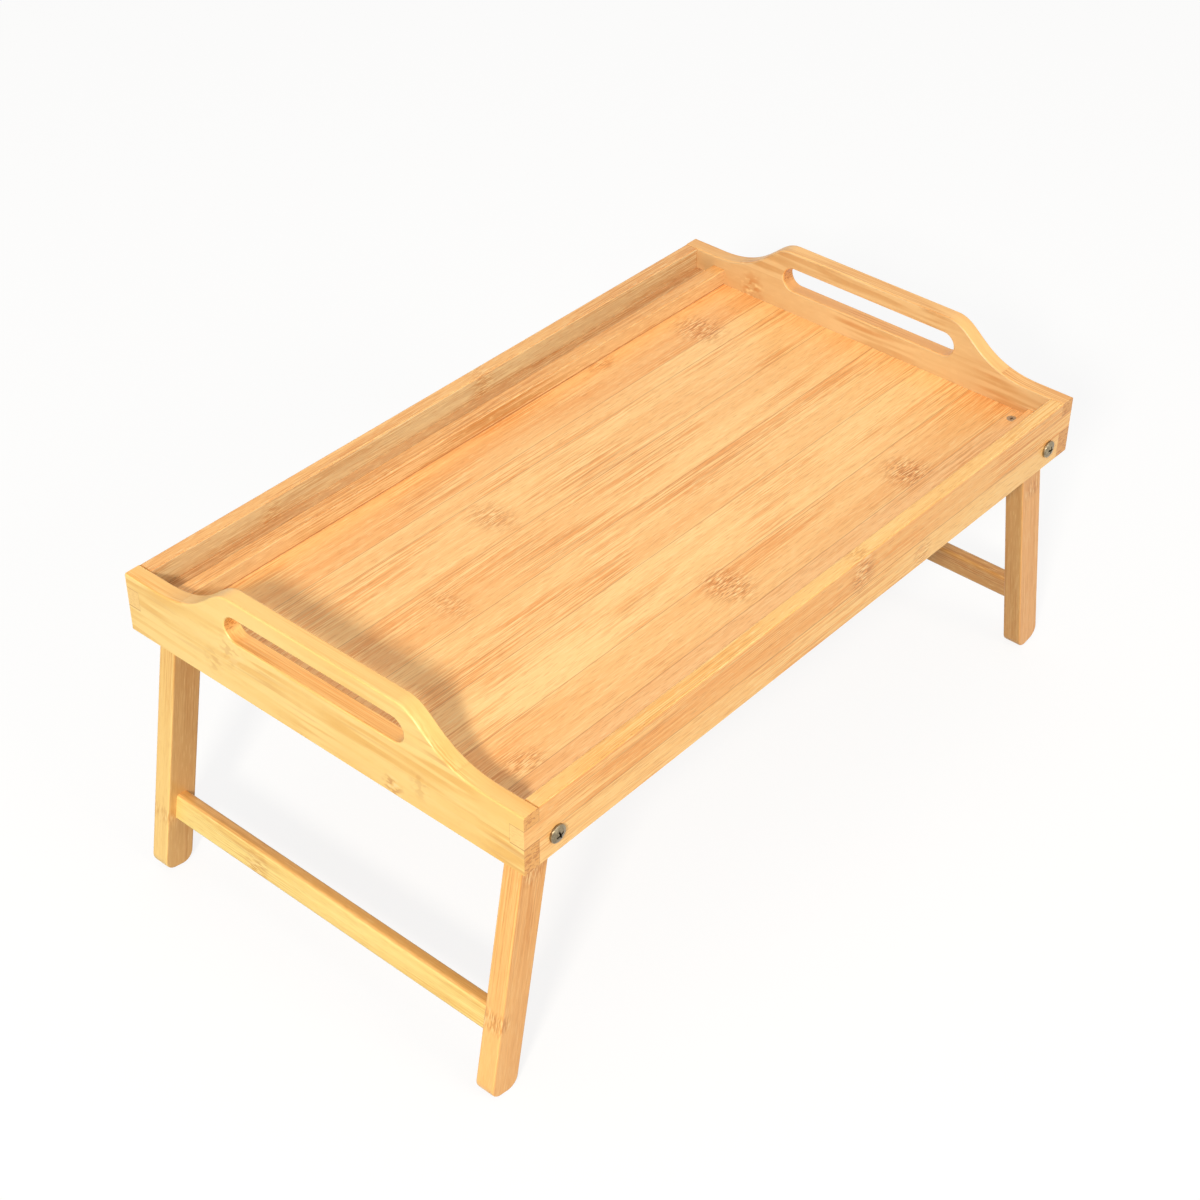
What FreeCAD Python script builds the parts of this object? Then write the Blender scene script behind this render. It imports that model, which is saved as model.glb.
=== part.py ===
"""Bed tray table with two fold-flat leg frames. Millimetres, +Z up, origin under the middle at foot level.

X runs along the tray, Y across it; the front rail is on the -Y side.
"""
import FreeCAD
import Part
import math
import os

V = FreeCAD.Vector

# overall
tray_length = 500.0
tray_width = 298.0
rail_top_height = 203.8

# rails and end boards
rail_depth = 39.0
rail_thickness = 9.5
end_thickness = 11.0
rail_edge_round = 0.8
finger_top = 9.0
finger_tongue = 12.7

# carrying handles raised from the end boards
handle_rise = 26.2
handle_flat_length = 124.0
shoulder_run = 63.0
shoulder_low_pull = 42.0
shoulder_high_pull = 18.0
handle_edge_round = 1.2
slot_length = 134.0
slot_height = 16.5
slot_above_rail = 6.3
slot_edge_round = 1.2

# floor, the strips over the leg channels and the lip of the slot
floor_below_rail = 18.0
floor_thickness = 3.4
floor_seat = 4.0
floor_tongue_thickness = 2.0
flush_strip_width = 10.0
channel_cover_below_rail = 14.0
channel_cover_thickness = 1.7
cover_seat = 3.0
cove_run = 2.6
lip_height = 11.0
lip_edge_round = 0.8

# cleats below the floor ends
cleat_width = 20.0
cleat_depth = 12.0
cleat_end_gap = 1.2

# leg frames
leg_width = 20.4
leg_thickness = 12.8
leg_splay = 10.3
foot_corner_round = 7.5
leg_edge_round = 1.1
stretcher_height = 17.8
stretcher_thickness = 8.8
stretcher_above_foot = 44.8
stretcher_edge_round = 2.4
tenon_height = 11.0
tenon_thickness = 5.0
tenon_length = 7.0

# pivot hardware
bolt_diameter = 5.0
bolt_head_diameter = 11.0
bolt_head_height = 3.0
bolt_head_rim = 1.5
bolt_recess_length = 5.6
bolt_recess_width = 1.1
bolt_recess_depth = 1.5
bolt_engagement = 8.0
sleeve_diameter = 8.0
nut_head_diameter = 12.0
nut_head_thickness = 1.6
washer_diameter = 17.0
washer_thickness = 0.8

# strip screws
screw_diameter = 3.4
screw_head_diameter = 6.4
screw_head_depth = 1.5
screw_length = 13.5
screw_recess_length = 3.6
screw_recess_width = 0.8
screw_recess_depth = 1.0

# clearances
leg_top_clearance = 0.3
folded_clearance = 0.4
stop_clearance = 0.05
running_clearance = 0.05
side_play = 0.1
bolt_hole_clearance = 0.1
recess_clearance = 0.25
channel_clearance = 0.5

# derived positions
half_length = tray_length / 2
half_width = tray_width / 2
end_inner = half_length - end_thickness
rail_inner = half_width - rail_thickness
rail_bottom = rail_top_height - rail_depth
floor_top = rail_top_height - floor_below_rail
floor_bottom = floor_top - floor_thickness
tongue_level = floor_bottom + floor_tongue_thickness
cover_top = rail_top_height - channel_cover_below_rail
cover_bottom = cover_top - channel_cover_thickness
leg_outer = rail_inner - washer_thickness - side_play / 2
leg_inner = leg_outer - leg_thickness
strip_outer = leg_inner - channel_clearance
strip_inner = strip_outer - flush_strip_width
pivot_z = min(
    cover_bottom - leg_top_clearance - leg_width / 2,
    floor_bottom - folded_clearance - stretcher_thickness / 2,
)
splay = math.radians(leg_splay)
stop_offset = leg_width / 2 / math.cos(splay) + (pivot_z - rail_bottom) * math.tan(splay)
pivot_x = end_inner - stop_offset - stop_clearance
foot_round = min(foot_corner_round, leg_width / 2 - 0.5)
foot_rise = pivot_z - foot_round - (leg_width / 2 - foot_round) * math.sin(splay)
leg_reach = foot_round + foot_rise / math.cos(splay)
stretcher_drop = leg_reach - stretcher_above_foot
screw_x = end_inner - cleat_width / 2
screw_y = (strip_inner + strip_outer) / 2


def box(x0, x1, y0, y1, z0, z1):
    return Part.makeBox(x1 - x0, y1 - y0, z1 - z0, V(x0, y0, z0))


def line(a, b):
    return Part.makeLine(V(*a), V(*b))


def bar(points, x0, x1):
    """A bar along X whose section is the closed outline of (y, z) points."""
    loop = [V(x0, y, z) for y, z in points]
    face = Part.Face(Part.makePolygon(loop + loop[:1]))
    return face.extrude(V(x1 - x0, 0, 0))


def mirror_x(shape):
    return shape.mirror(V(0, 0, 0), V(1, 0, 0))


def mirror_y(shape):
    return shape.mirror(V(0, 0, 0), V(0, 1, 0))


def rounded(shape, radius, keep):
    """Rounds the edges whose middle and direction satisfy keep."""
    edges = []
    for edge in shape.Edges:
        middle = edge.valueAt((edge.FirstParameter + edge.LastParameter) / 2)
        span = edge.valueAt(edge.LastParameter) - edge.valueAt(edge.FirstParameter)
        if keep(middle, span):
            edges.append(edge)
    return shape.makeFillet(radius, edges)


def near(a, b, within=0.01):
    return abs(a - b) < within


def rod(diameter, start, end):
    """A round rod between two points on one axis."""
    reach = V(*end) - V(*start)
    return Part.makeCylinder(diameter / 2, reach.Length, V(*start), reach)


def turned(profile, origin, axis):
    """A turned piece: (radius, distance along the axis) points, revolved and set along the axis."""
    loop = [V(radius, 0, along) for radius, along in profile]
    face = Part.Face(Part.makePolygon(loop + loop[:1]))
    solid = face.revolve(V(0, 0, 0), V(0, 0, 1), 360)
    solid.Placement = FreeCAD.Placement(V(*origin), FreeCAD.Rotation(V(0, 0, 1), V(*axis)))
    return solid


def cross_recess(head, length, width, depth, top):
    """Cuts a cross for the driver into a head that looks along +Z."""
    for reach, half in ((length / 2, width / 2), (width / 2, length / 2)):
        head = head.cut(box(-reach, reach, -half, half, top - depth, top + 1))
    return head


def end_outline(x):
    """The end board's outline: straight at the rails, drawn up through ogee shoulders to the handle."""
    low = rail_top_height
    high = low + handle_rise
    flat = handle_flat_length / 2
    foot = flat + shoulder_run
    edges = [line((x, -half_width, rail_bottom), (x, half_width, rail_bottom))]
    edges.append(line((x, half_width, rail_bottom), (x, half_width, low)))
    edges.append(line((x, half_width, low), (x, foot, low)))
    for side in (1, -1):
        curve = Part.BezierCurve()
        poles = [(foot, low), (foot - shoulder_low_pull, low)]
        poles += [(flat + shoulder_high_pull, high), (flat, high)]
        if side < 0:
            poles.reverse()
        curve.setPoles([V(x, side * y, z) for y, z in poles])
        edges.append(curve.toShape())
        if side > 0:
            edges.append(line((x, flat, high), (x, -flat, high)))
    edges.append(line((x, -foot, low), (x, -half_width, low)))
    edges.append(line((x, -half_width, low), (x, -half_width, rail_bottom)))
    return Part.Face(Part.Wire(Part.__sortEdges__(edges)))


def hand_slot():
    """The full-round hand slot, cut right through the left end board."""
    middle = rail_top_height + slot_above_rail
    reach = (slot_length - slot_height) / 2
    x0 = -half_length - 1
    depth = end_thickness + 2
    low = middle - slot_height / 2
    cut = box(x0, x0 + depth, -reach, reach, low, low + slot_height)
    for y in (-reach, reach):
        cut = cut.fuse(Part.makeCylinder(slot_height / 2, depth, V(x0, y, middle), V(1, 0, 0)))
    return cut.removeSplitter()


def end_board():
    """Left end board with handle, floor groove and corner fingers."""
    board = end_outline(-half_length).extrude(V(end_thickness, 0, 0))
    faces = (-half_length, -end_inner)

    def top_edge(middle, span):
        on_face = near(middle.x, faces[0]) or near(middle.x, faces[1])
        return on_face and middle.z > rail_top_height - 0.01 and abs(span.y) > 1

    board = rounded(board, handle_edge_round, top_edge)
    board = board.cut(hand_slot())
    low = rail_top_height + slot_above_rail - slot_height / 2
    high = low + slot_height

    def slot_edge(middle, span):
        on_face = near(middle.x, faces[0]) or near(middle.x, faces[1])
        inside = abs(middle.y) < slot_length / 2 + 0.1 and low - 0.1 < middle.z < high + 0.1
        return on_face and inside

    board = rounded(board, slot_edge_round, slot_edge)
    tongue_top = rail_top_height - finger_top
    tongue_bottom = tongue_top - finger_tongue
    for side in (-1, 1):
        y = sorted((side * rail_inner, side * (half_width + 1)))
        board = board.cut(box(-half_length - 1, -end_inner + 1, *y, tongue_bottom, tongue_top))
    groove = box(-end_inner - floor_seat, -end_inner + 1, -strip_inner, strip_inner, floor_bottom, tongue_level)
    return board.cut(groove)


def back_rail():
    """Rail between the end boards, with a tongue at each end and a groove for the channel strip."""
    rail = box(-end_inner, end_inner, rail_inner, half_width, rail_bottom, rail_top_height)

    def top_edge(middle, span):
        return near(middle.z, rail_top_height) and abs(span.x) > 1

    rail = rounded(rail, rail_edge_round, top_edge)
    tongue_top = rail_top_height - finger_top
    tongue_bottom = tongue_top - finger_tongue
    rail = rail.fuse(box(-half_length, half_length, rail_inner, half_width, tongue_bottom, tongue_top))
    groove = box(-end_inner, end_inner, rail_inner - 1, rail_inner + cover_seat, cover_bottom, cover_top)
    rail = rail.cut(groove).removeSplitter()
    hole = bolt_diameter + 2 * bolt_hole_clearance
    for x in (-pivot_x, pivot_x):
        rail = rail.cut(rod(hole, (x, rail_inner - 1, pivot_z), (x, half_width + 1, pivot_z)))
    return rail


def floor_panel():
    """Panel with a tongue at each end that sits in the end board's groove."""
    reach = end_inner + floor_seat
    tongue = box(-reach, reach, -strip_inner, strip_inner, floor_bottom, tongue_level)
    panel = box(-end_inner, end_inner, -strip_inner, strip_inner, floor_bottom, floor_top)
    return panel.fuse(tongue).removeSplitter()


def back_channel_strip():
    """Strip flush with the floor, stepped up over the channel in which the legs fold."""
    foot = strip_outer - cove_run
    section = [
        (strip_inner, floor_bottom),
        (strip_inner, floor_top),
        (foot, floor_top),
        (strip_outer, cover_top),
        (rail_inner + cover_seat, cover_top),
        (rail_inner + cover_seat, cover_bottom),
        (strip_outer, cover_bottom),
        (strip_outer, floor_bottom),
    ]
    strip = bar(section, -end_inner, end_inner)
    for x in (-screw_x, screw_x):
        strip = strip.cut(strip_screw(x, screw_y))
    return strip


def back_lip():
    """Upright batten that closes off the slot along the back rail."""
    top = floor_top + lip_height
    foot = strip_outer - cove_run
    section = [
        (strip_inner, floor_top),
        (strip_inner, top),
        (strip_outer, top),
        (strip_outer, cover_top),
        (foot, floor_top),
    ]
    lip = bar(section, -end_inner, end_inner)

    def top_edge(middle, span):
        return near(middle.z, top) and abs(span.x) > 1

    return rounded(lip, lip_edge_round, top_edge)


def cleat():
    """Left cleat under the floor end, which takes the strip screws."""
    x0 = -end_inner
    reach = strip_outer - cleat_end_gap
    block = box(x0, x0 + cleat_width, -reach, reach, floor_bottom - cleat_depth, floor_bottom)
    for y in (-screw_y, screw_y):
        block = block.cut(strip_screw(-screw_x, y))
    return block


def strip_screw(x, y):
    """Body of a countersunk screw, its head level with the strip."""
    shank = screw_diameter / 2
    head = screw_head_diameter / 2
    profile = [
        (0, 0),
        (head, 0),
        (shank, -screw_head_depth),
        (shank, -screw_length + shank),
        (0, -screw_length),
    ]
    return turned(profile, (x, y, floor_top), (0, 0, 1))


def leg_blank():
    """Leg hanging straight down from the pivot: round top, square foot with rounded corners."""
    half = leg_width / 2
    foot = -leg_reach
    r = foot_round
    bend = r * math.sqrt(0.5)
    edges = [line((-half, 0, 0), (-half, 0, foot + r))]
    left = (V(-half, 0, foot + r), V(-half + r - bend, 0, foot + r - bend), V(-half + r, 0, foot))
    edges.append(Part.Arc(*left).toShape())
    edges.append(line((-half + r, 0, foot), (half - r, 0, foot)))
    right = (V(half - r, 0, foot), V(half - r + bend, 0, foot + r - bend), V(half, 0, foot + r))
    edges.append(Part.Arc(*right).toShape())
    edges.append(line((half, 0, foot + r), (half, 0, 0)))
    edges.append(Part.Arc(V(half, 0, 0), V(0, 0, half), V(-half, 0, 0)).toShape())
    blank = Part.Face(Part.Wire(edges)).extrude(V(0, leg_thickness, 0))
    blank.translate(V(0, leg_inner, 0))

    def outline_edge(middle, span):
        return near(middle.y, leg_inner) or near(middle.y, leg_outer)

    return rounded(blank, leg_edge_round, outline_edge)


def tenon_box(y0, y1):
    """Section of the stretcher tenon in the upright leg frame."""
    t = tenon_thickness / 2
    h = tenon_height / 2
    return box(-t, t, y0, y1, -stretcher_drop - h, -stretcher_drop + h)


def upright_leg():
    """Back leg before it is splayed: pivot bore, nut recess and tenon mortise."""
    leg = leg_blank()
    bore = sleeve_diameter + 2 * running_clearance
    leg = leg.cut(rod(bore, (0, leg_inner - 1, 0), (0, leg_outer + 1, 0)))
    recess = nut_head_diameter + 2 * recess_clearance
    depth = nut_head_thickness + side_play / 2
    leg = leg.cut(rod(recess, (0, leg_inner - 1, 0), (0, leg_inner + depth, 0)))
    return leg.cut(tenon_box(leg_inner - 1, leg_inner + tenon_length))


def upright_stretcher():
    t = stretcher_thickness / 2
    h = stretcher_height / 2
    bar_ = box(-t, t, -leg_inner, leg_inner, -stretcher_drop - h, -stretcher_drop + h)

    def long_edge(middle, span):
        return abs(span.y) > 1

    bar_ = rounded(bar_, stretcher_edge_round, long_edge)
    reach = leg_inner + tenon_length
    return bar_.fuse(tenon_box(-reach, reach)).removeSplitter()


def splayed(shape):
    """Sets an upright frame piece on the left pivot, feet outwards."""
    out = shape.copy()
    out.rotate(V(0, 0, 0), V(0, 1, 0), leg_splay)
    out.translate(V(-pivot_x, 0, pivot_z))
    return out


def pivot_bolt(x):
    """Back pivot bolt: domed cross-recess head on the rail, shank into the sleeve nut."""
    head = bolt_head_diameter / 2
    shank = bolt_diameter / 2
    rim = bolt_head_rim
    rise = bolt_head_height - rim
    bulge = (head * head + rise * rise) / (2 * rise)
    length = rail_thickness + bolt_engagement
    profile = [V(0, 0, -length), V(shank, 0, -length), V(shank, 0, 0), V(head, 0, 0), V(head, 0, rim)]
    edges = [Part.makeLine(a, b) for a, b in zip(profile, profile[1:])]
    half_angle = math.asin(head / bulge) / 2
    centre = bolt_head_height - bulge
    over = V(bulge * math.sin(half_angle), 0, centre + bulge * math.cos(half_angle))
    top = V(0, 0, bolt_head_height)
    edges.append(Part.Arc(profile[-1], over, top).toShape())
    edges.append(Part.makeLine(top, profile[0]))
    solid = Part.Face(Part.Wire(edges)).revolve(V(0, 0, 0), V(0, 0, 1), 360)
    solid = cross_recess(
        solid, bolt_recess_length, bolt_recess_width, bolt_recess_depth, bolt_head_height
    )
    turn = FreeCAD.Rotation(V(0, 0, 1), V(0, 1, 0))
    solid.Placement = FreeCAD.Placement(V(x, half_width, pivot_z), turn)
    return solid


def pivot_nut(x):
    """Back sleeve nut: its sleeve carries the leg and butts on the rail."""
    bore = bolt_diameter / 2
    sleeve = sleeve_diameter / 2
    head = nut_head_diameter / 2
    start = leg_inner
    length = rail_inner - start
    profile = [
        (0, 0),
        (head, 0),
        (head, nut_head_thickness),
        (sleeve, nut_head_thickness),
        (sleeve, length),
        (bore, length),
        (bore, length - bolt_engagement),
        (0, length - bolt_engagement),
    ]
    return turned(profile, (x, start, pivot_z), (0, 1, 0))


def pivot_washer(x):
    """Back washer between leg and rail."""
    bore = sleeve_diameter / 2 + running_clearance
    outer = washer_diameter / 2
    profile = [(bore, 0), (outer, 0), (outer, washer_thickness), (bore, washer_thickness)]
    return turned(profile, (x, rail_inner - washer_thickness, pivot_z), (0, 1, 0))


def four_corners(make):
    """One piece of hardware at each pivot."""
    solids = []
    for x in (-pivot_x, pivot_x):
        piece = make(x)
        solids += [piece, mirror_y(piece)]
    return Part.makeCompound(solids)


def strip_screws():
    """The four screws, with a cross for the driver in each head."""
    places = [(x, y) for x in (-screw_x, screw_x) for y in (-screw_y, screw_y)]
    screw = cross_recess(
        strip_screw(0, 0), screw_recess_length, screw_recess_width, screw_recess_depth, floor_top
    )
    return Part.makeCompound([screw.translated(V(x, y, 0)) for x, y in places])


def pieces():
    left_end = end_board()
    rail = back_rail()
    strip = back_channel_strip()
    left_cleat = cleat()
    back_leg = splayed(upright_leg())
    front_leg = mirror_y(back_leg)
    stretcher = splayed(upright_stretcher())
    return {
        "end_board_left": left_end,
        "end_board_right": mirror_x(left_end),
        "rail_back": rail,
        "rail_front": mirror_y(rail),
        "floor_panel": floor_panel(),
        "channel_strip_back": strip,
        "channel_strip_front": mirror_y(strip),
        "lip_back": back_lip(),
        "cleat_left": left_cleat,
        "cleat_right": mirror_x(left_cleat),
        "leg_left_back": back_leg,
        "leg_left_front": front_leg,
        "leg_right_back": mirror_x(back_leg),
        "leg_right_front": mirror_x(front_leg),
        "stretcher_left": stretcher,
        "stretcher_right": mirror_x(stretcher),
        "pivot_bolts": four_corners(pivot_bolt),
        "pivot_nuts": four_corners(pivot_nut),
        "pivot_washers": four_corners(pivot_washer),
        "strip_screws": strip_screws(),
    }


def main():
    os.makedirs("parts", exist_ok=True)
    for name, shape in pieces().items():
        shape.exportStep("parts/" + name + ".step")
        size = shape.BoundBox
        print(name, len(shape.Solids), shape.isValid(), round(shape.Volume), round(size.ZMin, 3), round(size.ZMax, 3))


main()
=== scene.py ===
import math
from functools import partial

import bpy
from mathutils import Matrix, Vector


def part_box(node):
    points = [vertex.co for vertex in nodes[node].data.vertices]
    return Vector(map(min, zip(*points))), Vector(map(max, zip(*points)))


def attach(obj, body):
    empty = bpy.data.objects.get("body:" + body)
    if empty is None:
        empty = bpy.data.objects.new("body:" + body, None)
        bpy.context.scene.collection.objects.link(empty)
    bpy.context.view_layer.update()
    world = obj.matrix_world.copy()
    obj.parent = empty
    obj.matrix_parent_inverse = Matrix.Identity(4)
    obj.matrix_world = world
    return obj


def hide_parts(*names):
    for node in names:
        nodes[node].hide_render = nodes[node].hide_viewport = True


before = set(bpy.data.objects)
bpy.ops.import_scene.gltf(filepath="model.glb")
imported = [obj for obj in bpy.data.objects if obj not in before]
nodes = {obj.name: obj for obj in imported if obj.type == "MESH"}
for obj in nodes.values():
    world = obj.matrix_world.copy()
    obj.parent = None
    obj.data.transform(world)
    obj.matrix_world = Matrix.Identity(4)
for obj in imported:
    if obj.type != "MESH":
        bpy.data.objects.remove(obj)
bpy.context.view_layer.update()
mm = 0.001
print("frame loaded:", len(nodes), "nodes")


# places read from the frame

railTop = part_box("rail_front")[1].z
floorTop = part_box("floor_panel")[1].z
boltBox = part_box("pivot_bolts")
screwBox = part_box("strip_screws")
pivotZ = (boltBox[0].z + boltBox[1].z) / 2
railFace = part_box("rail_back")[1].y
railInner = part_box("pivot_washers")[1].y
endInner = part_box("cleat_right")[1].x
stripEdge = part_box("lip_back")[0].y
splay = math.radians(10.3)      # lean of the standing legs, which their grain follows


# small helpers

def linear(hexText):
    # sRGB hex to the linear colour that the shader wants
    parts = [int(hexText[i:i + 2], 16) / 255 for i in (1, 3, 5)]
    return tuple(c / 12.92 if c <= 0.04045 else ((c + 0.055) / 1.055) ** 2.4 for c in parts) + (1.0,)


def addNode(tree, kind, values=(), take=0, **settings):
    # one node with its settings, and a link or value for its inputs, by name or in their order;
    # gives back the output socket asked for
    made = tree.nodes.new(kind)
    for key, value in settings.items():
        setattr(made, key, value)
    for key, value in values.items() if isinstance(values, dict) else enumerate(values):
        if isinstance(value, bpy.types.NodeSocket):
            tree.links.new(value, made.inputs[key])
        else:
            made.inputs[key].default_value = value
    return made.outputs[take] if made.outputs else made


def newMaterial(name):
    look = bpy.data.materials.new(name)
    look.use_nodes = True
    look.node_tree.nodes.clear()
    return look, look.node_tree


def paint(nodeName, look):
    thing = nodes[nodeName]
    thing.data.materials.clear()
    thing.data.materials.append(look)


def clearSelection():
    if bpy.context.object and bpy.context.object.mode != "OBJECT":
        bpy.ops.object.mode_set(mode="OBJECT")
    bpy.ops.object.select_all(action="DESELECT")


def pick(thing, test):
    # selects the faces whose middle and normal pass the test, and goes to edit mode
    bpy.context.tool_settings.mesh_select_mode = (False, False, True)
    bpy.ops.object.mode_set(mode="EDIT")
    bpy.ops.mesh.select_all(action="DESELECT")
    bpy.ops.object.mode_set(mode="OBJECT")
    for poly in thing.data.polygons:
        poly.select = bool(test(poly.center, poly.normal))
    bpy.ops.object.mode_set(mode="EDIT")


def useModifier(thing, kind, **settings):
    made = thing.modifiers.new(kind.lower(), kind)
    for key, value in settings.items():
        setattr(made, key, value)
    bpy.context.view_layer.objects.active = thing
    bpy.ops.object.modifier_apply(modifier=made.name)


# bamboo: split cane planed to strips, glued edge to edge and lacquered clear.
# Straight fibres run with the board as fine lines, each strip has its own tone,
# the cane's joints leave short speckled bands, and the satin lacquer shines softly.

bambooLook = {
    # each pattern's length along the grain and width across it in millimetres, its detail and roughness
    "fibres": {
        "line": (70, 0.85, 1.0, 0.6),       # fine lines, coarser than real ones, which would not show
        "streak": (150, 4.6, 2.0, 0.5),     # broad soft streaks
        "cloud": (210, 34, 1.0, 0.5),       # slow change of tone
        "patch": (105, 26, 1.0, 0.5),       # where the fine lines show most
        "vein": (95, 0.95, 0.5, 0.5),       # sparse dark lines
        "dash": (8, 0.45, 0.5, 0.5),        # short fibre bundles
        "speck": (6.0, 0.7, 1.0, 0.5),      # flecks in a cane joint
    },
    # of four numbers, the first two are the pattern's range and the others what it turns into
    "streakTone": (0.34, 0.66, -0.08, 0.34),
    "cloudTone": (0.34, 0.66, -0.1, 0.3),
    "lineTone": (0.43, 0.57, -0.35, 0.65),
    "patchFade": (0.47, 0.58),
    "patchShow": (0.12, 1.2),           # how strongly the lines show between patches and in them
    "veinCut": (0.57, 0.65, 0.0, 1.0),
    "veinPatch": (0.5, 0.62, 0.04),
    "veinShow": 0.45,
    "dashDark": (0.6, 0.7),
    "dashPale": (0.4, 0.3),
    "dashShow": 0.36,
    "jointFade": (0.28, 0.8),           # from the middle of a cane joint to its rim
    "jointTone": 0.45,
    "speckDark": (0.5, 0.58, 0.0, 1.0),
    "speckPale": (0.44, 0.36, 0.0, 0.9),
    "paintedSideFacing": (0.6, 0.85),          # how squarely a side has to look along the axis to take the painted light and shade
    "endFacing": (0.75, 0.95),
    "endCover": 0.8,
    "endScale": (420, 420, 1100),       # cut fibre ends: dashes about 2.4 mm long, 0.9 mm apart upwards
    "endFade": (0.5, 0.62),
    "stripShift": (3.1, 2.7, 1.9),      # moves the pattern from strip to strip, in metres
    "seamMm": (0.1, 0.4),               # a glue line's dark middle and its soft edge
    "seamGroove": -0.4,
    "lineRelief": 0.5,
    "cornerMm": (0.135, 0.45),          # the same for the dark line round a corner finger
    "cornerDepth": {"rail": 0.5, "end": 0.3},
    "bumpStrength": 0.25,
    "bumpMm": 0.12,
    "roughness": 0.44,
    "glossFade": (0.3, 0.7, -0.05, 0.07),
    "coat": 0.1,
    "coatRoughness": 0.25,
    "ior": 1.5,
    "vein": "#c27a35",
    "fleck": "#bd7430",
    "glint": "#ffe6aa",
    "glue": "#a25311",
}
finger = {"top": 9.0, "tongue": 12.7}     # heights of the corner's top finger and of the tongue, in mm


def boardStrips(add, place, side, seed, seams, tones):
    # which strip a point is in moves the pattern and sets the tone; nearest is how far a glue line is
    tones = list(tones) or [0.0] * (len(seams) + 1)
    index, stripTone, nearest = float(seed), tones[0], None
    for seam, before, after in zip(seams, tones, tones[1:]):
        past = add("ShaderNodeMath", (side, seam * mm), operation="GREATER_THAN")
        gap = add("ShaderNodeMath", (side, seam * mm), operation="SUBTRACT")
        gap = add("ShaderNodeMath", (gap,), operation="ABSOLUTE")
        index = add("ShaderNodeMath", (index, past), operation="ADD")
        stripTone = add("ShaderNodeMath", (past, after - before, stripTone), operation="MULTIPLY_ADD")
        nearest = gap if nearest is None else add("ShaderNodeMath", (nearest, gap), operation="MINIMUM")
    dice = add("ShaderNodeTexWhiteNoise", {"W": index}, "Color", noise_dimensions="1D")
    shift = add("ShaderNodeVectorMath", (dice, bambooLook["stripShift"]), operation="MULTIPLY")
    return add("ShaderNodeVectorMath", (place, shift), operation="ADD"), stripTone, nearest


def caneJoints(add, place, grain, across, joints):
    # a band across one strip for each joint of the cane, fading along and across
    band = None
    for along, offset, length, width, strength in joints:
        centre, size = [0.0, 0.0, 0.0], [0.0, 0.0, 0.0]
        centre[grain], centre[across] = along * mm, offset * mm
        size[grain], size[across] = 1000 / length, 1000 / width
        gap = add("ShaderNodeVectorMath", (place, tuple(centre)), operation="SUBTRACT")
        gap = add("ShaderNodeVectorMath", (gap, tuple(size)), operation="MULTIPLY")
        reach = add("ShaderNodeVectorMath", (gap,), "Value", operation="LENGTH")
        mark = add("ShaderNodeMapRange", (reach, *bambooLook["jointFade"], strength, 0.0))
        band = mark if band is None else add("ShaderNodeMath", (band, mark), operation="MAXIMUM")
    return band


def sidesAlong(add, facing, axis, fade):
    # 1 on the sides that look along an axis, either way, and 0 on the others
    line = [0.0, 0.0, 0.0]
    line[axis] = 1.0
    squarely = add("ShaderNodeVectorMath", (facing, tuple(line)), "Value", operation="DOT_PRODUCT")
    squarely = add("ShaderNodeMath", (squarely,), operation="ABSOLUTE")
    return add("ShaderNodeMapRange", (squarely, *bambooLook[fade], 0.0, 1.0))


def cornerLine(add, split, corner):
    # thin dark line round the finger joint, as the rail or as the end board shows it
    onRail = corner == "rail"
    half = finger["tongue"] / 2 * mm
    middle = railTop - (finger["top"] + finger["tongue"] / 2) * mm
    rise = add("ShaderNodeMath", (split.outputs[2], middle), operation="SUBTRACT")
    rise = add("ShaderNodeMath", (rise,), operation="ABSOLUTE")
    out = add("ShaderNodeMath", (split.outputs[0 if onRail else 1],), operation="ABSOLUTE")
    beside = add("ShaderNodeMath", (endInner if onRail else railInner, out), operation="SUBTRACT")
    over = add("ShaderNodeMath", (half, rise) if onRail else (rise, half), operation="SUBTRACT")
    away = add("ShaderNodeMath", (beside, over), operation="MAXIMUM")
    away = add("ShaderNodeMath", (away,), operation="ABSOLUTE")
    core, rim = (edge * mm for edge in bambooLook["cornerMm"])
    return add("ShaderNodeMapRange", (away, core, rim, bambooLook["cornerDepth"][corner], 0.0))


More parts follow.
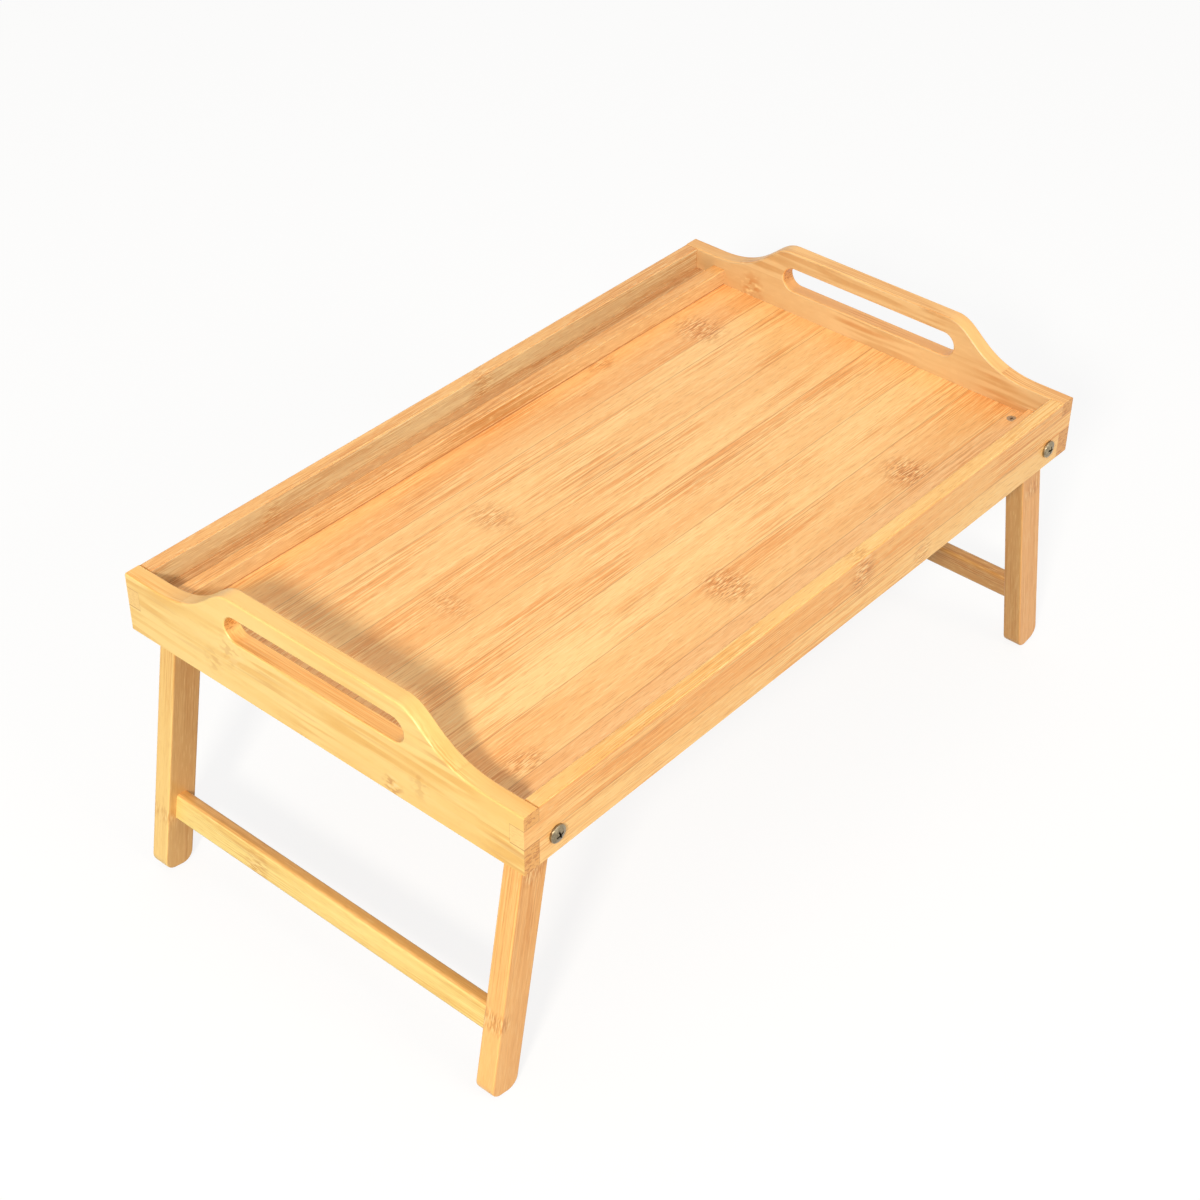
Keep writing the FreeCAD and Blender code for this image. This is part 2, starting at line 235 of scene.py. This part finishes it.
def bamboo(name, grain, across, pale, deep, seed, seams=(), tones=(), seamDepth=0.4, joints=(),
           tilt=0.0, corner="", cutEnd="#e3a862", lineShow=1.0, layer=1.0, endShow=0.5, paintedSideLight=()):
    # grain and across are 0, 1 or 2 for X, Y or Z; seams and joints are in millimetres;
    # paintedSideLight is an axis and two tones for the sides that look along it, painted light and shade for
    # how the lamps fall there;
    # layer widens the pattern across the strips, so that it reads as layers on a curved edge
    look, tree = newMaterial(name)
    add = partial(addNode, tree)
    texture = tree.nodes.new("ShaderNodeTexCoord")
    place, facing = texture.outputs["Object"], texture.outputs["Normal"]
    if tilt:
        place = add("ShaderNodeMapping", {"Vector": place, "Rotation": (0, tilt, 0)})
        facing = add("ShaderNodeMapping", {"Vector": facing, "Rotation": (0, tilt, 0)},
                     vector_type="NORMAL")
    split = tree.nodes.new("ShaderNodeSeparateXYZ")
    tree.links.new(place, split.inputs[0])
    moved, stripTone, nearest = boardStrips(add, place, split.outputs[across], seed, seams, tones)

    noise = {}
    for part, (long, wide, detail, rough) in bambooLook["fibres"].items():
        scale = [1000 / wide] * 3
        scale[across] /= layer
        scale[grain] = 1000 / long
        spot = add("ShaderNodeMapping", {"Vector": moved, "Scale": tuple(scale)})
        noise[part] = add("ShaderNodeTexNoise", {
            "Vector": spot, "Scale": 1.0, "Detail": detail, "Roughness": rough})
    band = caneJoints(add, place, grain, across, joints)

    # tone of the wood, from pale to deep
    streaks = add("ShaderNodeMapRange", (noise["streak"], *bambooLook["streakTone"]))
    clouds = add("ShaderNodeMapRange", (noise["cloud"], *bambooLook["cloudTone"]))
    tone = add("ShaderNodeMath", (streaks, clouds), operation="ADD")
    tone = add("ShaderNodeMath", (tone, stripTone), operation="ADD")
    if band is not None:
        tone = add("ShaderNodeMath", (band, bambooLook["jointTone"], tone), operation="MULTIPLY_ADD")
    shows = [show * lineShow for show in bambooLook["patchShow"]]
    shown = add("ShaderNodeMapRange", (noise["patch"], *bambooLook["patchFade"], *shows))
    lines = add("ShaderNodeMapRange", (noise["line"], *bambooLook["lineTone"]))
    tone = add("ShaderNodeMath", (shown, lines, tone), operation="MULTIPLY_ADD", use_clamp=True)
    ends = [linear(pale), linear(deep)]
    # the sides that look along that axis take their own tones: painted light and shade
    if paintedSideLight:
        litOrShadedSide = sidesAlong(add, facing, paintedSideLight[0], "paintedSideFacing")
        ends = [add("ShaderNodeMix", {"Factor": litOrShadedSide, "A": end, "B": linear(own)}, 2, data_type="RGBA")
                for end, own in zip(ends, paintedSideLight[1:])]
    colour = add("ShaderNodeMix", {"Factor": tone, "A": ends[0], "B": ends[1]}, 2, data_type="RGBA")

    # what lies over it: the share of each layer and its colour, from the first to the last
    over = []
    veins = add("ShaderNodeMapRange", (noise["vein"], *bambooLook["veinCut"]))
    veinShow = bambooLook["veinShow"] * lineShow
    patches = add("ShaderNodeMapRange", (noise["patch"], *bambooLook["veinPatch"], veinShow))
    over.append((add("ShaderNodeMath", (veins, patches), operation="MULTIPLY"), bambooLook["vein"]))
    dashShow = bambooLook["dashShow"] * lineShow / layer
    for fade, tint in (("dashDark", "fleck"), ("dashPale", "glint")):
        dashes = add("ShaderNodeMapRange", (noise["dash"], *bambooLook[fade], 0.0, dashShow))
        over.append((dashes, bambooLook[tint]))
    if band is not None:
        for fade, tint in (("speckDark", "fleck"), ("speckPale", "glint")):
            speck = add("ShaderNodeMapRange", (noise["speck"], *bambooLook[fade]))
            over.append((add("ShaderNodeMath", (band, speck), operation="MULTIPLY"), bambooLook[tint]))

    # end grain: the cut ends of the fibres as short dark dashes, layer by layer
    cut = sidesAlong(add, facing, grain, "endFacing")
    over.append((add("ShaderNodeMath", (cut, bambooLook["endCover"]), operation="MULTIPLY"), cutEnd))
    spot = add("ShaderNodeMapping", {"Vector": place, "Scale": bambooLook["endScale"]})
    dots = add("ShaderNodeTexNoise", {"Vector": spot, "Scale": 1.0, "Detail": 1.0})
    dots = add("ShaderNodeMapRange", (dots, *bambooLook["endFade"], 0.0, endShow))
    over.append((add("ShaderNodeMath", (cut, dots), operation="MULTIPLY"), bambooLook["fleck"]))

    # glue lines between the strips, sunk a little, and the lines round the corner fingers
    height = add("ShaderNodeMath", (noise["line"], bambooLook["lineRelief"]), operation="MULTIPLY")
    if nearest is not None:
        core, rim = (edge * mm for edge in bambooLook["seamMm"])
        seam = add("ShaderNodeMapRange", (nearest, core, rim, 1.0, 0.0))
        over.append((add("ShaderNodeMath", (seam, seamDepth), operation="MULTIPLY"), bambooLook["glue"]))
        height = add("ShaderNodeMath", (seam, bambooLook["seamGroove"], height), operation="MULTIPLY_ADD")
    if corner:
        over.append((cornerLine(add, split, corner), bambooLook["glue"]))
    for share, tint in over:
        colour = add("ShaderNodeMix", {"Factor": share, "A": colour, "B": linear(tint)}, 2,
                     data_type="RGBA")

    bump = add("ShaderNodeBump", {
        "Height": height, "Strength": bambooLook["bumpStrength"], "Distance": bambooLook["bumpMm"] * mm})
    low, high, smoother, rougher = bambooLook["glossFade"]
    gloss = add("ShaderNodeMapRange", (
        noise["line"], low, high, bambooLook["roughness"] + smoother, bambooLook["roughness"] + rougher))
    shader = add("ShaderNodeBsdfPrincipled", {
        "Base Color": colour, "Roughness": gloss, "Normal": bump, "IOR": bambooLook["ior"],
        "Coat Weight": bambooLook["coat"], "Coat Roughness": bambooLook["coatRoughness"]})
    add("ShaderNodeOutputMaterial", {"Surface": shader})
    return look


# the boards: grain, strip direction, glue lines, tones, and cane joints as place along the grain,
# place across it, length, width and strength; places and sizes in millimetres; the sides' own tones are
# painted light and shade
topMm, edgeMm = railTop / mm, stripEdge / mm
boards = {
    "end_board_left": dict(
        # sides facing up and down painted a deeper orange than the outer face: painted shade
        grain=1, across=2, pale="#fcd988", deep="#edbc66", paintedSideLight=(2, "#fcc97b", "#edae5b"), seed=3,
        seams=(topMm - 19, topMm + 3), tones=(0.05, 0.15, 0.0), seamDepth=0.08,
        corner="end", cutEnd="#e8a75c", lineShow=0.8, layer=5.0, endShow=0.7,
        joints=((64, topMm - 10, 16, 18, 0.3), (79, topMm - 24, 12, 14, 0.26),
                (-77, topMm - 22, 11, 15, 0.24), (-57, topMm - 34, 11, 11, 0.55))),
    "end_board_right": dict(
        # sides facing along X, the inner one in view, painted greyer and darker: painted shade
        grain=1, across=2, pale="#f9c37b", deep="#e4a45d", paintedSideLight=(0, "#dcbb88", "#c99e68"), seed=8,
        seams=(topMm - 19, topMm + 3), tones=(0.3, 0.12, 0.05), seamDepth=0.08,
        corner="end", cutEnd="#e2a55c", lineShow=0.85, layer=5.0, endShow=0.7,
        joints=((92, topMm - 12, 14, 18, 0.5),)),
    "rail_front": dict(
        # top side painted paler than the outer face: painted light
        grain=0, across=2, pale="#ffcd82", deep="#f2a85a", paintedSideLight=(2, "#ffd388", "#eeb160"), seed=14,
        seams=(topMm - 21.5,), tones=(-0.18, 0.3), seamDepth=0.5,
        corner="rail", cutEnd="#fad687", lineShow=0.9, endShow=0.15,
        joints=((32, topMm - 11, 18, 22, 0.75), (93, topMm - 31, 14, 16, 0.6))),
    "rail_back": dict(
        # sides facing along Y, the inner one in view, painted greyer: painted shade
        grain=0, across=2, pale="#f7be75", deep="#e19d57", paintedSideLight=(1, "#e2c796", "#cda471"), seed=21,
        seams=(topMm - 21.5,), tones=(0.0, 0.1), seamDepth=0.4,
        corner="rail", cutEnd="#fad687", lineShow=0.9, endShow=0.15,
        joints=((28, topMm - 8, 16, 18, 0.6), (-150, topMm - 12, 14, 18, 0.5))),
    "floor_panel": dict(
        grain=0, across=1, pale="#ffcf89", deep="#eda55c", seed=32,
        seams=(-edgeMm, -81.7, -44.3, -7, 30.4, 67.8, 81.7, edgeMm),
        tones=(0.24, 0.26, -0.16, 0.02, 0.16, 0.04, 0.14, 0.3, 0.25), seamDepth=0.5, lineShow=0.9,
        joints=((183, 91, 24, 28, 0.8), (138, -107, 24, 28, 0.85), (108, 114, 20, 16, 0.6),
                (-20, -94, 24, 26, 0.8), (-205, -108, 22, 18, 0.6), (-60, 50, 20, 26, 0.55),
                (-136, 12, 18, 26, 0.45))),
    # the back strip lies in the trough between rail and lip, and its tones are painted darker than the front
    # strip's: painted shade
    "channel_strip_back": dict(
        grain=0, across=1, pale="#d9ab78", deep="#c08a56", seed=41, seams=(edgeMm,), seamDepth=0.5),
    "channel_strip_front": dict(
        grain=0, across=1, pale="#fbc685", deep="#e9a55c", seed=47, seams=(-edgeMm,), seamDepth=0.5),
    "lip_back": dict(
        # sides facing along Y, the front one in view, painted greyer: painted shade
        grain=0, across=2, pale="#f3b46a", deep="#db944c", paintedSideLight=(1, "#e0bb87", "#c4955d"), seed=52,
        seams=(topMm - 17.5,), seamDepth=0.85),
    "cleat_left": dict(grain=1, across=0, pale="#f2c484", deep="#dfa562", seed=57),
    "cleat_right": dict(grain=1, across=0, pale="#f2c484", deep="#dfa562", seed=58),
    "leg_left_back": dict(
        # sides facing along Y painted darker: painted shade under the tray
        grain=2, across=0, pale="#f6d182", deep="#e3b060", paintedSideLight=(1, "#dfaf6b", "#cd944e"), seed=61,
        tilt=-splay, lineShow=0.5, joints=((-6, -265, 9, 14, 0.4),)),
    "leg_left_front": dict(
        # sides facing along Y painted a little darker: painted shade
        grain=2, across=0, pale="#fac477", deep="#e5a254", paintedSideLight=(1, "#f1b66d", "#dc964d"), seed=66,
        tilt=-splay, lineShow=0.5, joints=((6, -265, 11, 13, 0.6), (103, -255, 12, 13, 0.6))),
    "leg_right_back": dict(
        grain=2, across=0, pale="#edb26c", deep="#d89852", seed=71, tilt=splay, lineShow=0.55),
    "leg_right_front": dict(
        # sides facing along X painted darker: painted shade under the tray
        grain=2, across=0, pale="#f0b26b", deep="#da964f", paintedSideLight=(0, "#d2a05e", "#be8745"), seed=76,
        tilt=splay, lineShow=0.55, joints=((95, 255, 13, 14, 0.6),)),
    "stretcher_left": dict(
        # top side painted darker: painted shade under the tray
        grain=1, across=2, pale="#fae28e", deep="#eabf69", paintedSideLight=(2, "#f0b96b", "#d89d50"), seed=81,
        lineShow=0.55, joints=((56, 42, 14, 16, 0.5),)),
    # much darker than the left stretcher: painted shade under the tray
    "stretcher_right": dict(grain=1, across=2, pale="#d09c5a", deep="#ba8446", seed=86, lineShow=0.9),
}
for boardName, board in boards.items():
    words = "".join(part.capitalize() for part in boardName.split("_"))
    paint(boardName, bamboo("bamboo" + words, **board))
print("bamboo laid on", len(boards), "boards")


# metals and nylon: fine pits and a slow change of tone, so that each piece looks handled, not new

hardware = {
    # warm brown heads of the pivot bolts, with a broad soft shine
    "darkBurnishedSteel": {"pale": "#b3a486", "deep": "#776a55", "metallic": 1.0, "roughness": 0.34,
                           "pitMm": 0.5, "recess": "#37312a"},
    # dull grey heads of the strip screws, which hardly shine
    "greyScrewSteel": {"pale": "#cbbfaa", "deep": "#a39885", "metallic": 1.0, "roughness": 0.5,
                       "pitMm": 0.6, "recess": "#6b6152"},
    # cool light grey of the sleeve nuts, blotched as zinc is
    "zincPlatedSteel": {"pale": "#bdbdb8", "deep": "#8f908c", "metallic": 1.0, "roughness": 0.36,
                        "pitMm": 0.4},
    # milky washers, satin and a little yellow
    "naturalNylon": {"pale": "#e9e5d8", "deep": "#d8d2c2", "metallic": 0.0, "roughness": 0.5,
                     "pitMm": 0.6},
}
pitting = {
    "patch": 5,                             # how many pits wide a patch of tone is
    "toneFade": (0.12, 0.4),
    "glossFade": (0.3, 0.7, -0.08, 0.1),    # range of the pits, and what it adds to the roughness
    "strength": 0.2,
    "depthMm": 0.04,
}


def hardwareLook(name):
    spec = hardware[name]
    look, tree = newMaterial(name)
    add = partial(addNode, tree)
    place = add("ShaderNodeTexCoord", take="Object")
    pits = add("ShaderNodeTexNoise", {
        "Vector": place, "Scale": 1000 / spec["pitMm"], "Detail": 4.0, "Roughness": 0.6})
    patchMm = spec["pitMm"] * pitting["patch"]
    patch = add("ShaderNodeTexNoise", {"Vector": place, "Scale": 1000 / patchMm, "Detail": 2.0})
    tone = add("ShaderNodeMath", (pits, patch), operation="MULTIPLY")
    tone = add("ShaderNodeMapRange", (tone, *pitting["toneFade"]))
    colour = add("ShaderNodeMix", {
        "Factor": tone, "A": linear(spec["deep"]), "B": linear(spec["pale"])}, 2, data_type="RGBA")
    low, high, smoother, rougher = pitting["glossFade"]
    gloss = add("ShaderNodeMapRange", (
        pits, low, high, spec["roughness"] + smoother, spec["roughness"] + rougher))
    if "recess" in spec:
        # the driver recess is painted dark on the piece's own faces: painted shade in the recess
        recessShadeMask = add("ShaderNodeAttribute", take="Fac", attribute_name="recess")
        colour = add("ShaderNodeMix", {"Factor": recessShadeMask, "A": colour, "B": linear(spec["recess"])}, 2,
                     data_type="RGBA")
    bump = add("ShaderNodeBump", {
        "Height": pits, "Strength": pitting["strength"], "Distance": pitting["depthMm"] * mm})
    shader = add("ShaderNodeBsdfPrincipled", {
        "Base Color": colour, "Roughness": gloss, "Normal": bump, "Metallic": spec["metallic"]})
    add("ShaderNodeOutputMaterial", {"Surface": shader})
    return look


paint("pivot_nuts", hardwareLook("zincPlatedSteel"))
paint("pivot_washers", hardwareLook("naturalNylon"))


# driver recess and finish, for bolts and screws alike

def crossCutter(spec):
    # two tapered blades at right angles that stand 1 mm out of the head
    length, width, depth = (spec[key] * mm for key in ("slotLength", "slotWidth", "recessDepth"))
    clearSelection()
    blades = []
    for size in ((length, width), (width, length)):
        bpy.ops.mesh.primitive_cube_add(size=1, location=(0, 0, spec["top"] * mm - depth / 2 + 0.5 * mm))
        blade = bpy.context.object
        blade.scale = (*size, depth + 1 * mm)
        bpy.ops.object.transform_apply(location=True, rotation=False, scale=True)
        pick(blade, lambda middle, normal: normal.z < -0.5)
        bpy.ops.transform.resize(value=(spec["slotTaper"], spec["slotTaper"], 1))
        bpy.ops.object.mode_set(mode="OBJECT")
        blades.append(blade)
    useModifier(blades[0], "BOOLEAN", operation="UNION", object=blades[1], solver="EXACT")
    bpy.data.objects.remove(blades[1])
    return blades[0]


def finishHead(blank, spec):
    # cuts the cross, marks its faces for the painted shade in the recess and shades the head smooth
    cutter = crossCutter(spec)
    useModifier(blank, "BOOLEAN", operation="DIFFERENCE", object=cutter, solver="EXACT")
    bpy.data.objects.remove(cutter)
    floor = (spec["top"] - spec["recessDepth"] - 0.1) * mm
    brim = (spec["top"] - spec["markBelow"]) * mm
    mark = blank.data.attributes.new("recess", "FLOAT", "FACE")
    for poly in blank.data.polygons:
        inside = math.hypot(poly.center.x, poly.center.y) < spec["markReach"] * mm
        small = poly.area < spec["markArea"] * mm * mm      # leaves out the large faces of the head
        mark.data[poly.index].value = float(inside and floor < poly.center.z < brim and small)
    clearSelection()
    blank.select_set(True)
    bpy.context.view_layer.objects.active = blank
    bpy.ops.object.shade_smooth_by_angle(angle=math.radians(35))


def copyTo(source, name, matrix):
    made = source.copy()
    made.data = source.data.copy()
    made.name = name
    bpy.context.collection.objects.link(made)
    made.data.transform(matrix)
    return made


# pivot bolts: pan head with a domed top, cross recess and rounded rim, sizes in millimetres

bolt = {
    "headRadius": 5.5, "rim": 1.5, "top": 2.95, "edge": 0.32, "shankRadius": 2.5, "shankLength": 17.5,
    "domeSteps": (0.94, 0.84, 0.7, 0.52, 0.3, 0.12),        # shares of the radius, from the rim inwards
    "slotLength": 6.2, "slotWidth": 1.3, "slotTaper": 0.7, "recessDepth": 1.6,
    "markReach": 3.2, "markBelow": 0.55, "markArea": 9,     # faces with painted shade in the recess: how far out, down, how large
    "firstTurn": 18, "nextTurn": 31,                        # degrees that the crosses are turned by
}
pivotX = boltBox[1].x - bolt["headRadius"] * mm


def boltBlank(spec):
    # head on its back: rim at z = 0, top towards +Z, shank below
    radius, rim = spec["headRadius"] * mm, spec["rim"] * mm
    clearSelection()
    bpy.ops.mesh.primitive_cylinder_add(vertices=64, radius=radius, depth=rim, location=(0, 0, rim / 2))
    blank = bpy.context.object
    blank.name = "boltBlank"
    bpy.ops.object.transform_apply(location=True, rotation=False, scale=False)
    pick(blank, lambda middle, normal: normal.z > 0.9)
    rise = (spec["top"] - spec["rim"]) * mm
    bulge = (radius * radius + rise * rise) / (2 * rise)      # the dome is part of a ball of this radius
    before, level = radius, 0.0
    for share in spec["domeSteps"]:
        wide = radius * share
        up = math.sqrt(bulge * bulge - wide * wide) - (bulge - rise)
        bpy.ops.mesh.extrude_region_move(TRANSFORM_OT_translate={"value": (0, 0, up - level)})
        bpy.ops.transform.resize(value=(wide / before, wide / before, 1))
        before, level = wide, up
    pick(blank, lambda middle, normal: normal.z < -0.9)
    bpy.ops.mesh.inset(thickness=radius - spec["shankRadius"] * mm, depth=0)
    bpy.ops.mesh.extrude_region_move(TRANSFORM_OT_translate={"value": (0, 0, -spec["shankLength"] * mm)})
    bpy.ops.object.mode_set(mode="OBJECT")
    useModifier(blank, "BEVEL", width=spec["edge"] * mm, segments=3, limit_method="ANGLE",
                angle_limit=math.radians(50))
    finishHead(blank, spec)
    return blank


boltSource = boltBlank(bolt)
boltSource.data.materials.append(hardwareLook("darkBurnishedSteel"))
boltCount = 0
for sideX in (-1, 1):
    for sideY in (-1, 1):
        crossTurn = math.radians(bolt["firstTurn"] + bolt["nextTurn"] * boltCount)
        turn = Matrix.Rotation(math.radians(-90 * sideY), 4, "X") @ Matrix.Rotation(crossTurn, 4, "Z")
        spot = Matrix.Translation((sideX * pivotX, sideY * railFace, pivotZ)) @ turn
        made = copyTo(boltSource, "pivotBolt" + str(boltCount), spot)
        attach(made, "tray")
        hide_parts("pivot_bolts")
        boltCount += 1
bpy.data.objects.remove(boltSource)
print("pivot bolts made:", boltCount)


# countersunk screws of the channel strips, with the head's top at z = 0, sizes in millimetres

screw = {
    "headRadius": 3.2, "headDepth": 1.5, "top": 0, "shankRadius": 1.7, "length": 13.5, "tip": 0.15,
    "slotLength": 3.6, "slotWidth": 0.8, "slotTaper": 0.7, "recessDepth": 0.7,
    "markReach": 2.0, "markBelow": 0.1, "markArea": 9, "firstTurn": 25, "nextTurn": 37,
}
screwX = screwBox[1].x - screw["headRadius"] * mm
screwY = screwBox[1].y - screw["headRadius"] * mm


def screwBlank(spec):
    clearSelection()
    low = -spec["headDepth"] * mm
    bpy.ops.mesh.primitive_cone_add(
        vertices=48, radius1=spec["shankRadius"] * mm, radius2=spec["headRadius"] * mm, depth=-low,
        location=(0, 0, low / 2))
    blank = bpy.context.object
    blank.name = "screwBlank"
    bpy.ops.object.transform_apply(location=True, rotation=False, scale=False)
    pick(blank, lambda middle, normal: normal.z < -0.9)
    body = (spec["length"] - spec["headDepth"] - spec["shankRadius"]) * mm
    bpy.ops.mesh.extrude_region_move(TRANSFORM_OT_translate={"value": (0, 0, -body)})
    bpy.ops.mesh.extrude_region_move(TRANSFORM_OT_translate={"value": (0, 0, -spec["shankRadius"] * mm)})
    bpy.ops.transform.resize(value=(spec["tip"], spec["tip"], 1))
    bpy.ops.object.mode_set(mode="OBJECT")
    finishHead(blank, spec)
    return blank


screwSource = screwBlank(screw)
screwSource.data.materials.append(hardwareLook("greyScrewSteel"))
screwCount = 0
for sideX in (-1, 1):
    for sideY in (-1, 1):
        crossTurn = math.radians(screw["firstTurn"] + screw["nextTurn"] * screwCount)
        turn = Matrix.Rotation(crossTurn, 4, "Z")
        spot = Matrix.Translation((sideX * screwX, sideY * screwY, floorTop)) @ turn
        made = copyTo(screwSource, "stripScrew" + str(screwCount), spot)
        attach(made, "tray")
        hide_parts("strip_screws")
        screwCount += 1
bpy.data.objects.remove(screwSource)
print("strip screws made:", screwCount)


# studio: pale floor, soft lamps and a white surround for the camera

studio = {
    "floorSize": 14, "floorDrop": 0.0004,
    "floorGlow": 0.84,              # how much of the floor's white does not take the shadow
    "floorSeen": "#fdfdfc", "floorBounce": "#999792",
    "airTint": "#fbfcff", "airLevel": 0.45,
    "aim": (0, 0, 0.19),            # the point that the lamps look at
}


def seenRays(tree):
    # 1 for the camera's rays and for those that metal or glass sends on, 0 for bounced light
    rays = tree.nodes.new("ShaderNodeLightPath")
    seen = rays.outputs["Is Camera Ray"]
    for kind in ("Is Glossy Ray", "Is Transmission Ray"):
        seen = addNode(tree, "ShaderNodeMath", (seen, rays.outputs[kind]), operation="MAXIMUM")
    return seen


def floorLook():
    # matt white paper: the camera sees it white with the shadow on it; bounced light sees a pale grey one
    look, tree = newMaterial("paleStudioFloor")
    add = partial(addNode, tree)
    seen = seenRays(tree)
    share = add("ShaderNodeMath", (seen, studio["floorGlow"]), operation="MULTIPLY")
    tint = add("ShaderNodeMix", {
        "Factor": seen, "A": linear(studio["floorBounce"]), "B": linear(studio["floorSeen"])},
        2, data_type="RGBA")
    matt = add("ShaderNodeBsdfDiffuse", {"Color": tint})
    glow = add("ShaderNodeEmission", {"Color": (1, 1, 1, 1), "Strength": 1.0})
    both = add("ShaderNodeMixShader", (share, matt, glow))
    add("ShaderNodeOutputMaterial", {"Surface": both})
    return look


clearSelection()
bpy.ops.mesh.primitive_plane_add(size=studio["floorSize"], location=(0, 0, -studio["floorDrop"]))
studioFloor = bpy.context.object
studioFloor.name = "studioFloor"
studioFloor.data.materials.append(floorLook())

world = bpy.data.worlds.new("studioWorld")
bpy.context.scene.world = world
world.use_nodes = True
world.node_tree.nodes.clear()
surround = world.node_tree
seen = seenRays(surround)
level = addNode(surround, "ShaderNodeMapRange", {
    "Value": seen, "To Min": studio["airLevel"], "To Max": 1.0})
tint = addNode(surround, "ShaderNodeMix", {
    "Factor": seen, "A": linear(studio["airTint"]), "B": (1, 1, 1, 1)}, 2, data_type="RGBA")
air = addNode(surround, "ShaderNodeBackground", {"Color": tint, "Strength": level})
addNode(surround, "ShaderNodeOutputWorld", {"Surface": air})

# a distant key lamp from the left end, which throws the handle's shadow on the tray floor,
# a wide low lamp in front that lifts the long side, and a wide one overhead for the top edges
lamps = {
    "keyLamp": {"toward": (-0.759, -0.400, 0.513), "distance": 3.2, "size": 0.36, "power": 83,
                "tint": "#fff7ea"},
    "frontLamp": {"toward": (0.05, -0.90, 0.42), "distance": 4.0, "size": 1.6, "power": 44,
                  "tint": "#fff7ea"},
    "topLamp": {"toward": (0.10, 0.15, 1.0), "distance": 3.0, "size": 2.2, "power": 12,
                "tint": "#fff7ea"},
}
for lampName, spec in lamps.items():
    lamp = bpy.data.lights.new(lampName, "AREA")
    lamp.size = spec["size"]
    lamp.energy = spec["power"]
    lamp.color = linear(spec["tint"])[:3]
    holder = bpy.data.objects.new(lampName, lamp)
    bpy.context.collection.objects.link(holder)
    toward = Vector(spec["toward"]).normalized()
    holder.location = Vector(studio["aim"]) + toward * spec["distance"]
    holder.rotation_mode = "QUATERNION"
    holder.rotation_quaternion = toward.to_track_quat("Z", "Y")


# camera: found by fitting the tray's corners; angles in degrees, offsets in metres from the middle
# of the rail tops

cameraFit = {
    "azimuth": -49.28, "elevation": 37.99, "roll": 0.38, "distance": 1.3596,
    "across": -0.0142, "up": -0.0697, "focalPixels": 2333.2, "picturePixels": 1200,
    "sensorMm": 36, "clip": (0.05, 30),
}
azimuth, elevation, roll = (math.radians(cameraFit[key]) for key in ("azimuth", "elevation", "roll"))
back = Vector((math.sin(azimuth) * math.cos(elevation), -math.cos(azimuth) * math.cos(elevation),
               math.sin(elevation)))
sideways = Vector((math.cos(azimuth), math.sin(azimuth), 0))
upright = back.cross(sideways)
right = math.cos(roll) * sideways + math.sin(roll) * upright
up = math.cos(roll) * upright - math.sin(roll) * sideways
spot = (Vector((0, 0, railTop)) + back * cameraFit["distance"] + right * cameraFit["across"]
        + up * cameraFit["up"])
cameraData = bpy.data.cameras.new("photoCamera")
cameraData.sensor_width = cameraFit["sensorMm"]
cameraData.lens = cameraFit["sensorMm"] * cameraFit["focalPixels"] / cameraFit["picturePixels"]
cameraData.clip_start, cameraData.clip_end = cameraFit["clip"]
camera = bpy.data.objects.new("photoCamera", cameraData)
bpy.context.collection.objects.link(camera)
camera.matrix_world = Matrix((
    (right.x, up.x, back.x, spot.x),
    (right.y, up.y, back.y, spot.y),
    (right.z, up.z, back.z, spot.z),
    (0, 0, 0, 1)))
bpy.context.scene.camera = camera
bpy.context.scene.view_settings.view_transform = "Standard"
print("studio and camera set")
